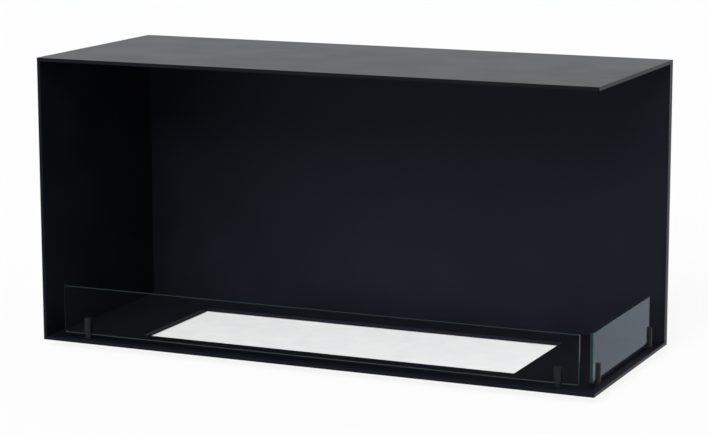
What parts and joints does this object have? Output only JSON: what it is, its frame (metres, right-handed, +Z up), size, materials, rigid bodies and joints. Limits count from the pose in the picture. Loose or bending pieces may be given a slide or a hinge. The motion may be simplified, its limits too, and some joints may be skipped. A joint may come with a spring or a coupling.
{
  "type": "bioethanol fireplace",
  "caption": "Corner bioethanol firebox: black double-skin steel casing open at the front and right, low glass panes in slotted posts, and a lift-out burner tray in the deck.",
  "frame": {"origin": "bottom centre of the whole fireplace, on the floor under the middle of the casing", "axes": "+X along the width, towards the open side; +Y from the open front to the back; +Z up"},
  "size_m": [1.02, 0.4, 0.513],
  "materials": {
    "black_coated_steel": "satin black powder coat",
    "black_post": "satin black coat on turned steel",
    "black_rivet": "satin black",
    "zinc_plated_steel": "bright zinc",
    "stainless_steel": "brushed",
    "ceramic_fibre": "matte white fibre",
    "clear_glass": "polished, toughened",
    "silicone": "matte black",
    "rubber": "matte black"
  },
  "bodies": {
    "casing": {"back_liner": "black_coated_steel", "back_panel": "black_coated_steel", "back_rivets": "black_rivet", "back_spacers": "zinc_plated_steel", "base_panel": "black_coated_steel", "base_spacers": "zinc_plated_steel", "burner_well": "black_coated_steel", "deck_plate": "black_coated_steel", "fixing_nuts": "zinc_plated_steel", "foot_nuts": "zinc_plated_steel", "foot_screws": "zinc_plated_steel", "front_left_foot": "rubber", "front_left_glass_pad": "silicone", "front_left_post": "black_post", "front_right_foot": "rubber", "front_right_glass_pad": "silicone", "front_right_post": "black_post", "left_liner": "black_coated_steel", "left_panel": "black_coated_steel", "left_rivets": "black_rivet", "left_spacers": "zinc_plated_steel", "post_screws": "zinc_plated_steel", "post_spacers": "zinc_plated_steel", "rear_left_foot": "rubber", "rear_right_foot": "rubber", "side_front_glass_pad": "silicone", "side_front_post": "black_post", "side_rear_glass_pad": "silicone", "side_rear_post": "black_post", "top_liner": "black_coated_steel", "top_panel": "black_coated_steel", "top_spacers": "zinc_plated_steel", "well_rivets": "black_rivet"},
    "burner": {"burner_tray": "stainless_steel"},
    "pad": {"ceramic_pad": "ceramic_fibre"},
    "front_pane": {"front_glass": "clear_glass"},
    "side_pane": {"side_glass": "clear_glass"}
  },
  "joints": [
    {"name": "burner_lift", "type": "slide", "parent": "casing", "child": "burner", "axis": [0, 0, 1], "range_m": [0, 0.11]},
    {"name": "pad_lift", "type": "slide", "parent": "burner", "child": "pad", "axis": [0, 0, 1], "range_m": [0, 0.03]},
    {"name": "front_glass_lift", "type": "slide", "parent": "casing", "child": "front_pane", "axis": [0, 0, 1], "range_m": [0, 0.04]},
    {"name": "side_glass_lift", "type": "slide", "parent": "casing", "child": "side_pane", "axis": [0, 0, 1], "range_m": [0, 0.04]}
  ]
}
